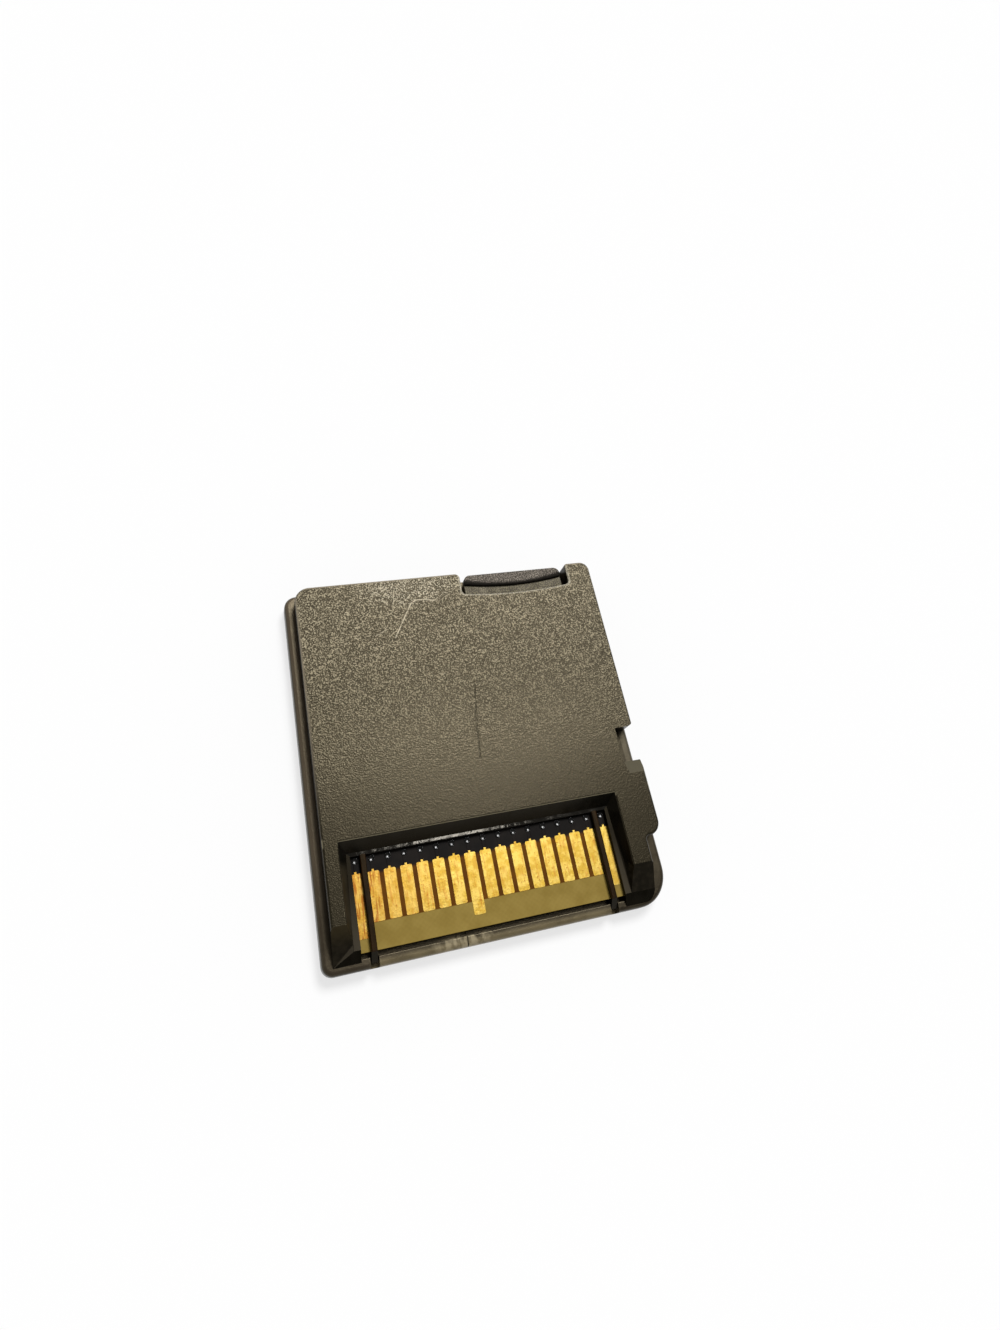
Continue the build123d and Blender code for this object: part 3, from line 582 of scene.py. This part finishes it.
# Wear with painted highlight: the slot's edges and sides and the shiny patch are painted paler.
worn_and_highlit = rear.rise(rear.off_arc(*slot_arc), 0.08, 0.3, 1.0, 0.0)
worn_and_highlit = rear.sum("MULTIPLY", worn_and_highlit, rear.between(rear.x, *slot_x, 0.1))
slot_left, slot_right = [rear.between(rear.x, *side, 0.15) for side in slot_sides_x]
beside_slot = rear.sum("MAXIMUM", slot_left, slot_right)
beside_slot = rear.sum("MULTIPLY", beside_slot, rear.rise(rear.y, *slot_sides_y))
worn_and_highlit = rear.sum("MULTIPLY", rear.sum("MAXIMUM", worn_and_highlit, beside_slot), rear.rise(grain, 0.36, 0.56, 0.2, 0.9))
worn_and_highlit = rear.sum("MAXIMUM", worn_and_highlit, rear.sum("MULTIPLY", shiny, rear.rise(grain, 0.48, 0.64, 0.0, 0.8)))
colour = rear.blend(worn_and_highlit, colour, worn_highlight_pale)
# Painted highlight along the back face's left edge, stronger towards the top, and along its top edge.
rim = rear.rise(rear.x, *rim_x, 1.0, 0.0)
rim = rear.sum("MULTIPLY", rim, rear.rise(rear.y, *rim_fade_y, 0.0, 0.75))
rim = rear.sum("MAXIMUM", rim, rear.sum("MULTIPLY", rear.rise(rear.y, *rim_top_y), 0.75))
colour = rear.blend(rim, colour, rim_highlight_grey)
# Painted light: the ramp below the lock notch faces the lamp and is painted paler; it is also made rougher.
lock_bevel = rear.sum("MULTIPLY", rear.between(rear.y, *ramp_y, 0.2), rear.rise(rear.x, *ramp_x))
lock_bevel = rear.sum("MULTIPLY", lock_bevel, rear.rise(rear.upward, 0.95, 0.995, 0.9, 0.0))
colour = rear.blend(lock_bevel, colour, ramp_painted_light)
colour = rear.blend(rear.sum("MULTIPLY", welded, 0.7), colour, case_pit)
rear.set("Base Color", rear.blend(scratched, colour, scratch_pale))
rough = rear.rise(near_slot, 0, 1, 0.25, 0.31)
rough = rear.sum("MULTIPLY_ADD", pits, 0.14, rough)
rough = rear.sum("MULTIPLY_ADD", edge, -0.08, rough)
rough = rear.sum("MULTIPLY_ADD", lock_bevel, 0.3, rough)
rear.set("Roughness", rear.sum("MULTIPLY_ADD", shiny, -0.08, rough))
height = rear.sum("MULTIPLY", rear.sum("SUBTRACT", grain, 0.5), rear.rise(near_slot, 0, 1, 0.2, 1.0))
height = rear.sum("MULTIPLY", height, rear.rise(edge, 0, 1, 1.0, 0.4))
height = rear.sum("MULTIPLY_ADD", scratched, -0.3, height)
rear.relief(rear.sum("MULTIPLY_ADD", welded, -0.3, height), grain_depth)
rear.put_on("rear_shell")

wall_tones = (tone(8, 7, 4), tone(14, 12, 8))
ramp_middle_y, ramp_half = -5.4, 1.0
slope_middle_y, slope_half = -7.6, 0.5
grained_z = 3.5

wall = Finish("case_wall_plastic", tone(14, 13, 10), 0.25)
wall.set("Specular Tint", case_tint)
wall.set("Specular IOR Level", 0.15)
flow = wall.mottle(0.9, 3.0, (1, 0.3, 1))
wall.set("Base Color", wall.blend(wall.rise(flow, 0.3, 0.7), *wall_tones))
wall.set("Roughness", wall.rise(flow, 0.3, 0.7, 0.2, 0.3))
wall.relief(wall.mottle(0.2, 2.0), 0.003)


def on_wall(centre, normal):
    """The inner and outer walls and the window's upper slope, but not the ramp below the lock notch."""
    ramp = centre.x > ramp_x[0] and abs(centre.y - ramp_middle_y) < ramp_half and normal.z > 0.5
    slope = abs(centre.y - slope_middle_y) < slope_half and 0.5 < normal.z < 0.65
    return not ramp and (slope or normal.z < 0.5 or centre.z < grained_z)


wall.put_on("rear_shell", on_wall)

lit_tones = (tone(38, 33, 23), tone(52, 46, 34))
lit_x = (-14.3, -13.3)
lit_low_y = -14.2
lit_low_z = 2.5
upper_wall_shadow_y = (-9.6, -8.6)

# A lit copy of the wall plastic: its paler olive tones are painted light.
lit_wall = Finish("lit_wall_plastic", tone(42, 37, 26), 0.4)
lit_wall.set("Specular Tint", case_tint)
lit_wall.set("Specular IOR Level", 0.2)
lit_flow = lit_wall.mottle(0.6, 3.0, (1, 0.3, 1))
lit_olive = lit_wall.blend(lit_wall.rise(lit_flow, 0.3, 0.7), *lit_tones)
# Painted shadow: the wall turns black near its top, where the window's upper wall shades it.
upper_wall_shadow = lit_wall.rise(lit_wall.y, *upper_wall_shadow_y)
lit_wall.set("Base Color", lit_wall.blend(upper_wall_shadow, lit_olive, wall_tones[0]))
lit_wall.set("Roughness", lit_wall.rise(lit_flow, 0.3, 0.7, 0.34, 0.44))
lit_wall.relief(lit_wall.mottle(0.2, 2.0), 0.003)


def on_lit_wall(centre, normal):
    """The window's left wall, painted paler than the others as painted light."""
    inside = lit_x[0] < centre.x < lit_x[1] and centre.y > lit_low_y and centre.z > lit_low_z
    return inside and normal.x > 0.5


lit_wall.put_on("rear_shell", on_lit_wall)

leg_tones = (tone(12, 10, 6), tone(24, 20, 13))
leg_painted_light = tone(44, 37, 22)
leg_top_y = (-15.6, -13.8)
leg_left_x = (-10, -8)
leg_low_z = 2.6

leg = Finish("leg_case_plastic", tone(20, 17, 11), 0.35)
leg.set("Specular Tint", case_tint)
leg.set("Specular IOR Level", 0.24)
scuff = leg.mottle(0.5, 3.0)
leg_colour = leg.blend(leg.rise(scuff, 0.4, 0.7), *leg_tones)
# Painted light: the upper end of the left leg is painted paler where light falls on it.
left_top_lit = leg.sum("MULTIPLY", leg.rise(leg.y, *leg_top_y), leg.rise(leg.x, *leg_left_x, 1.0, 0.0))
leg.set("Base Color", leg.blend(left_top_lit, leg_colour, leg_painted_light))
leg.set("Roughness", leg.rise(scuff, 0.3, 0.7, 0.3, 0.42))
leg.relief(leg.mottle(0.2, 1.0), 0.008)


def on_leg(centre, normal):
    """The sloped ends of the two legs beside the window."""
    return centre.y < leg_top_y[1] and centre.z > leg_low_z and 0.3 < normal.z < 0.95


leg.put_on("rear_shell", on_leg)

lip_tones = (tone(10, 9, 7), tone(18, 16, 13))
lip_tint = (1.0, 0.93, 0.8, 1)
lip_z, lip_half = 2.5, 0.12
lip_end_y = -10

lip = Finish("lip_case_plastic", tone(12, 11, 9), 0.15)
lip.set("Specular Tint", lip_tint)
lip.set("Specular IOR Level", 0.5)
wave = lip.mottle(1.2, 3.0)
lip.set("Base Color", lip.blend(wave, *lip_tones))
lip.set("Roughness", lip.rise(lip.mottle(0.7, 2.0), 0.35, 0.65, 0.05, 0.14))
lip.relief(wave, 0.03)


def at_lip(centre, normal):
    """The flat at the lip's level and the rounds of its edges."""
    return abs(centre.z - lip_z) < lip_half and normal.z > 0.3


lip.put_on("rear_shell", lambda centre, normal: at_lip(centre, normal) and centre.y > lip_end_y)

rib_reflection_browns = (tone(18, 8, 1), tone(36, 19, 4))
rib_shade_greys = (tone(14, 11, 7), tone(56, 51, 42))
rib_inner_x = (-12.5, 11.2)
rib_fade_y = (-15.5, -9.5)

rib = Finish("rib_case_plastic", tone(44, 25, 8), 0.35)
rib.set("Specular Tint", case_tint)
rib.set("Specular IOR Level", 0.12)
rub = rib.mottle(0.5, 3.0, (1, 0.3, 1))
# Painted reflection: the inner ribs are painted brown for the gold contacts and board beside them.
rib_reflection = rib.blend(rib.rise(rub, 0.3, 0.7), *rib_reflection_browns)
# Painted shade: the outer ribs go dark towards the window's upper wall and paler towards the end.
rib_shade = rib.blend(rib.rise(rib.y, *rib_fade_y, 1.0, 0.0), *rib_shade_greys)
rib.set("Base Color", rib.blend(rib.between(rib.x, *rib_inner_x, 0.2), rib_shade, rib_reflection))
rib.set("Roughness", rib.rise(rub, 0.3, 0.7, 0.3, 0.42))
rib.relief(rib.mottle(0.2, 2.0), 0.004)
rib.put_on("rear_shell", lambda centre, normal: at_lip(centre, normal) and centre.y < lip_end_y)

# Floor, light and camera: a plain pale table, one soft lamp from beyond the card slot, a small one that
# the window's lip mirrors, and a bright horizon under a dimmer ceiling.

floor_half = 3.0
floor_white_share = 0.72
floor_mesh = bpy.data.meshes.new("table")
corners = [(-1, -1), (1, -1), (1, 1), (-1, 1)]
floor_mesh.from_pydata([(x * floor_half, y * floor_half, 0) for x, y in corners], [], [(0, 1, 2, 3)])
table = bpy.data.objects.new("table", floor_mesh)
bpy.context.scene.collection.objects.link(table)
table_white = Finish("table_white", (0.97, 0.97, 0.97), 0.9)
table_white.set("Specular IOR Level", 0.1)
rays = table_white.add("ShaderNodeLightPath").outputs
seen = table_white.sum("MAXIMUM", rays["Is Camera Ray"], rays["Is Glossy Ray"])
seen = table_white.sum("MAXIMUM", seen, rays["Is Transmission Ray"])
white = table_white.add("ShaderNodeEmission", {"Color": (1, 1, 1, 1), "Strength": 1.0}).outputs[0]
share = table_white.sum("MULTIPLY", seen, floor_white_share)
layers = {0: share, 1: table_white.shader.outputs[0], 2: white}
cover = table_white.add("ShaderNodeMixShader", layers).outputs[0]
table_white.tree.links.new(cover, table_white.tree.nodes["Material Output"].inputs["Surface"])
floor_mesh.materials.append(table_white.material)


def lamp(name, strength, spread, towards):
    """A soft lamp far away in one direction."""
    light = bpy.data.lights.new(name, "SUN")
    light.energy = strength
    light.angle = math.radians(spread)
    made = bpy.data.objects.new(name, light)
    made.rotation_mode = "QUATERNION"
    made.rotation_quaternion = Vector(towards).to_track_quat("Z", "Y")
    bpy.context.scene.collection.objects.link(made)


lamp("wide_lamp", strength=2.76, spread=24, towards=(0.265, 0.45, 0.853))
lamp("small_lamp", strength=0.07, spread=4.5, towards=(0.222, 0.13, 0.966))

horizon_z, ceiling_z = 0.05, 0.5
horizon_light, ceiling_light = 1.0, 0.17
world = bpy.data.worlds.new("room")
bpy.context.scene.world = world
world.use_nodes = True
sky = world.node_tree
direction = sky.nodes.new("ShaderNodeTexCoord")
split = sky.nodes.new("ShaderNodeSeparateXYZ")
sky.links.new(direction.outputs["Generated"], split.inputs[0])
ceiling = sky.nodes.new("ShaderNodeMapRange")
ceiling.interpolation_type = "SMOOTHSTEP"
for index, value in enumerate((horizon_z, ceiling_z, horizon_light, ceiling_light), 1):
    ceiling.inputs[index].default_value = value
sky.links.new(split.outputs["Z"], ceiling.inputs[0])
sky.links.new(ceiling.outputs[0], sky.nodes["Background"].inputs["Strength"])
sky.nodes["Background"].inputs["Color"].default_value = (1, 1, 1, 1)

picture_height = 1330
lens_pixels = 901.0
middle_pixels = 490
sensor_mm = 36
camera_place = (-0.02335, -0.01998, 0.08896)
camera_turn = (31.109, -13.859, -12.255)
camera_data = bpy.data.cameras.new("camera")
camera_data.sensor_width = sensor_mm
camera_data.lens = lens_pixels / picture_height * sensor_mm
camera_data.shift_y = (middle_pixels - picture_height / 2) / picture_height
camera_data.clip_start = 0.001
camera = bpy.data.objects.new("camera", camera_data)
camera.location = camera_place
camera.rotation_euler = [math.radians(turn) for turn in camera_turn]
bpy.context.scene.collection.objects.link(camera)
bpy.context.scene.camera = camera
bpy.context.scene.view_settings.view_transform = "Standard"
